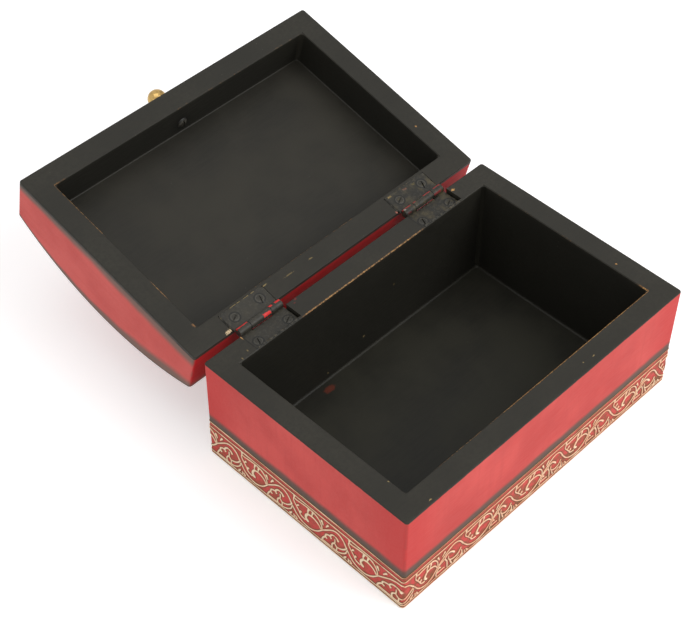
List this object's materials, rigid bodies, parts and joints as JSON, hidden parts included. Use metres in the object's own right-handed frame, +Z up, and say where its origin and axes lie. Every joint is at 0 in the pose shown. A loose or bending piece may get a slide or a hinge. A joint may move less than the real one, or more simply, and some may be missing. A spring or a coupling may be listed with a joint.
{
  "type": "wooden storage box",
  "caption": "Small wooden storage box with a domed lid on butt hinges, red outside with a raised gilt vine border round the base, black inside, with a brass ball knob.",
  "frame": {"origin": "centre of the base's underside", "axes": "+X along the hinges to the right as seen from the knob side of the closed box, +Y from the front to the hinges, +Z up; at rest the lid stands open behind the base"},
  "size_m": [0.18, 0.2567, 0.0867],
  "materials": {
    "red_painted_wood": "satin",
    "black_painted_wood": "matte",
    "hinge_metal": "satin",
    "brass": "polished",
    "steel_brads": "satin"
  },
  "bodies": {
    "base": {"base_front_board": "red_painted_wood", "base_back_board": "red_painted_wood", "base_left_board": "red_painted_wood", "base_right_board": "red_painted_wood", "base_bottom_panel": "black_painted_wood", "base_corner_brads": "steel_brads", "bottom_panel_brads": "steel_brads", "left_hinge_base_leaf": "hinge_metal", "right_hinge_base_leaf": "hinge_metal", "left_hinge_pin": "hinge_metal", "right_hinge_pin": "hinge_metal", "left_hinge_base_screws": "hinge_metal", "right_hinge_base_screws": "hinge_metal"},
    "lid": {"lid_front_rail": "red_painted_wood", "lid_back_rail": "red_painted_wood", "lid_left_rail": "red_painted_wood", "lid_right_rail": "red_painted_wood", "lid_lining_panel": "black_painted_wood", "lid_top_board": "red_painted_wood", "lid_corner_brads": "steel_brads", "lid_top_brads": "steel_brads", "left_hinge_lid_leaf": "hinge_metal", "right_hinge_lid_leaf": "hinge_metal", "left_hinge_lid_screws": "hinge_metal", "right_hinge_lid_screws": "hinge_metal", "knob": "brass", "knob_screw": "hinge_metal"}
  },
  "joints": [
    {"name": "lid_hinge", "type": "hinge", "parent": "base", "child": "lid", "pos_m": [0, 0.0627, 0.06], "axis": [1, 0, 0], "range_deg": [-24, 166.7]}
  ]
}
